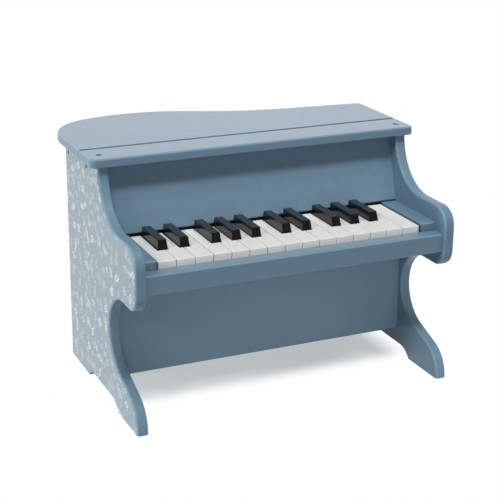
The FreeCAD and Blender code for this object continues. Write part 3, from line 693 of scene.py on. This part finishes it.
def springTongue(key, left, right, root, tip, half, look):
    halfWide, radius = (right - left) / 2, look["tipRadius"]
    straight = root.y - tip.y - radius
    count = round(straight / look["step"])
    widths = [(root.y - straight * k / count, halfWide) for k in range(count)]
    for k in range(look["tipSteps"] + 1):
        angle = math.pi / 2 * k / look["tipSteps"]
        widths.append((tip.y + radius * (1 - math.sin(angle)), halfWide - radius * (1 - math.cos(angle))))
    widths[0] = (root.y + look["rootLap"], halfWide)
    place = (left + right) / 2
    profile = roundedProfile(halfWide, half, look)
    work = bmesh.new()
    rings = []
    for y, wide in widths:
        share = max(0.0, (root.y - y) / (root.y - tip.y))
        middle = Vector((place, y, root.z + (tip.z - root.z) * share))
        rings.append([work.verts.new(middle + Vector((x * wide / halfWide, 0.0, z))) for x, z in profile])
    loft(work, rings)
    bends = (key, (place, root.y, root.z), (place, tip.y, tip.z))
    name = look["tongue"] + key[len("key_"):]
    addPiece(name, work, look["finish"], "return_spring_comb", bends=bends)


def laneMiddle(name):
    # middle of the key's tail, which lies behind y = 0
    tail = [v.co.x for v in nodes[name].data.vertices if v.co.y > 0]
    return sum(tail) / len(tail)


def springComb(look):
    corners = [v.co for v in nodes["return_spring_comb"].data.vertices]
    low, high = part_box("return_spring_comb")
    tipSpots = [p for p in corners if p.y - low.y < look["joinGap"]]
    rearSpots = [p for p in corners if high.y - p.y < look["joinGap"]]
    bendY = min(p.y for p in corners if p.y - low.y > look["joinGap"])
    stripLow, stripHigh = min(p.z for p in rearSpots), max(p.z for p in rearSpots)
    half = (stripHigh - stripLow) / 2
    sides = sorted({round(p.x, look["sideDigits"]) for p in tipSpots})
    root = Vector((0.0, bendY, stripLow + half))
    tip = Vector((0.0, low.y, min(p.z for p in tipSpots) + half))
    lanes = sorted(keyNames, key=laneMiddle)
    for key, left, right in zip(lanes, sides[0::2], sides[1::2]):
        springTongue(key, left, right, root, tip, half, look)
    middle = Vector((0.0, (bendY + high.y) / 2, root.z))
    profile = roundedProfile((high.y - bendY) / 2, half, look)
    count = round((high.x - low.x) / look["step"])
    work = bmesh.new()
    rings = []
    for k in range(count + 1):
        x = low.x + (high.x - low.x) * k / count
        rings.append([work.verts.new(middle + Vector((x, y, z))) for y, z in profile])
    loft(work, rings)
    addPiece(look["strip"], work, look["finish"], "return_spring_comb")
    return len(lanes)


print("spring tongues bent:", springComb(springLook))


# camera solved from the photograph's edges
cameraView = {
    "place": (-0.6000, -1.3298, 0.6505), "right": (0.91359, -0.40655, 0.00823),
    "up": (0.12153, 0.29231, 0.94857), "ahead": (0.38805, 0.86560, -0.31646),
    "lens": 94.23, "sensor": 36.0, "shiftX": 0.0143, "shiftY": -0.0458,
}


def makeCamera(look):
    data = bpy.data.cameras.new("photoCamera")
    data.lens = look["lens"]
    data.sensor_width = look["sensor"]
    data.shift_x = look["shiftX"]
    data.shift_y = look["shiftY"]
    cam = bpy.data.objects.new("photoCamera", data)
    show(cam)
    axes = Matrix([look["right"], look["up"], [-c for c in look["ahead"]]]).transposed()
    cam.matrix_world = Matrix.Translation(look["place"]) @ axes.to_4x4()
    bpy.context.scene.camera = cam


# soft lamps: from is a place for an area lamp and a direction for a sun
lampList = [
    {"name": "softBox", "kind": "AREA", "from": (0.0, -0.15, 0.80), "aim": (0.0, -0.05, 0.20),
     "energy": 0.95, "size": (0.5, 0.09), "spread": 180.0},
    {"name": "keyLamp", "kind": "SUN", "from": (-0.38, -0.37, 0.86), "energy": 0.60, "angle": 10.0},
    {"name": "leftLamp", "kind": "SUN", "from": (-0.791, -0.25, 0.57), "energy": 0.86, "angle": 10.0},
    {"name": "highLamp", "kind": "SUN", "from": (0.0, -0.40, 0.92), "energy": 1.0, "angle": 10.0},
    {"name": "rightFill", "kind": "SUN", "from": (0.45, -0.36, 0.83), "energy": 0.40, "angle": 10.0},
    {"name": "frontFill", "kind": "SUN", "from": (-0.26, -0.955, 0.139), "energy": 0.39, "angle": 20.0},
    {"name": "sideLamp", "kind": "SUN", "from": (-0.96, 0.26, 0.10), "energy": 2.36, "angle": 5.0,
     "glints": False},
    {"name": "lowFill", "kind": "AREA", "from": (0.02, -0.32, 0.02), "aim": (0.02, 0.0, 0.05),
     "energy": 0.041, "size": (0.34, 0.03), "spread": 60.0},
    {"name": "backLamp", "kind": "SUN", "from": (0.82, 0.57, 0.03), "energy": 2.2, "angle": 5.0,
     "glints": False},
]


def makeLamp(look):
    data = bpy.data.lights.new(look["name"], look["kind"])
    data.energy = look["energy"]
    lamp = bpy.data.objects.new(look["name"], data)
    show(lamp)
    lamp.rotation_mode = "QUATERNION"
    lamp.visible_glossy = look.get("glints", True)
    outward = Vector(look["from"])
    if look["kind"] == "SUN":
        data.angle = math.radians(look["angle"])
    else:
        data.shape = "RECTANGLE"
        data.size, data.size_y = look["size"]
        data.spread = math.radians(look["spread"])
        lamp.location = look["from"]
        outward = outward - Vector(look["aim"])
    lamp.rotation_quaternion = outward.to_track_quat("Z", "Y")


# pale surroundings, and a white floor that keeps the shadow under the piano; its glow is half strength near
# the piano and full away from it, so the shadow fades out there
roomLook = {"light": 0.02, "seenLight": 1.0, "white": (1.0, 1.0, 1.0, 1.0)}
floorLook = {
    "half": 14.0, "tone": (0.55, 0.55, 0.55, 1.0), "seenTone": (0.92, 0.955, 0.975, 1.0),
    "middle": (0.0, 0.019), "shadowHalf": (0.15, 0.066), "fade": 0.045, "nearLift": 0.50, "farLift": 1.0,
    "nearWhite": (0.92, 0.975, 1.0, 1.0), "farWhite": (1.0, 1.0, 1.0, 1.0),
}


def seenDirectly(tree):
    path = put(tree, "ShaderNodeLightPath").outputs
    mirrored = calc(tree, "MAXIMUM", path["Is Glossy Ray"], path["Is Transmission Ray"])
    return calc(tree, "MAXIMUM", path["Is Camera Ray"], mirrored)


def makeWorld(look):
    world = bpy.data.worlds.new("studio")
    bpy.context.scene.world = world
    tree = emptyTree(world)
    strength = ramp(tree, seenDirectly(tree), 0.0, 1.0, look["light"], look["seenLight"])
    back = put(tree, "ShaderNodeBackground", {"Color": look["white"], "Strength": strength})
    put(tree, "ShaderNodeOutputWorld", {0: back.outputs[0]})


def floorMaterial(look):
    mat = bpy.data.materials.new("paleFloor")
    tree = emptyTree(mat)
    place = splitAxes(tree, put(tree, "ShaderNodeTexCoord").outputs["Object"])
    squares = []
    for axis in (0, 1):
        away = calc(tree, "ABSOLUTE", calc(tree, "SUBTRACT", place[axis], look["middle"][axis]))
        outside = calc(tree, "MAXIMUM", calc(tree, "SUBTRACT", away, look["shadowHalf"][axis]), 0.0)
        squares.append(calc(tree, "POWER", outside, 2.0))
    distance = calc(tree, "SQRT", calc(tree, "ADD", *squares))
    outer = ramp(tree, distance, 0.0, look["fade"])
    lift = ramp(tree, distance, 0.0, look["fade"], look["nearLift"], look["farLift"])
    seen = seenDirectly(tree)
    tone = blendColour(tree, seen, look["tone"], look["seenTone"])
    plain = put(tree, "ShaderNodeBsdfDiffuse", {"Color": tone})
    # painted shade colour: near the piano the floor's glow is tinted blue, so the kept shadow there reads
    # bluish grey
    glow = blendColour(tree, outer, look["nearWhite"], look["farWhite"])
    white = put(tree, "ShaderNodeEmission", {"Color": glow})
    share = calc(tree, "MULTIPLY", seen, lift)
    mixed = put(tree, "ShaderNodeMixShader", {0: share, 1: plain.outputs[0], 2: white.outputs[0]})
    put(tree, "ShaderNodeOutputMaterial", {0: mixed.outputs[0]})
    return mat


def makeFloor(look):
    half = look["half"]
    corners = [(-half, -half, 0), (half, -half, 0), (half, half, 0), (-half, half, 0)]
    mesh = bpy.data.meshes.new("floor")
    mesh.from_pydata(corners, [], [(0, 1, 2, 3)])
    mesh.materials.append(floorMaterial(look))
    floor = bpy.data.objects.new("floor", mesh)
    show(floor)


makeCamera(cameraView)
makeWorld(roomLook)
for lampLook in lampList:
    makeLamp(lampLook)
makeFloor(floorLook)
bpy.context.scene.view_settings.view_transform = "Standard"
print("camera, lamps and floor set")
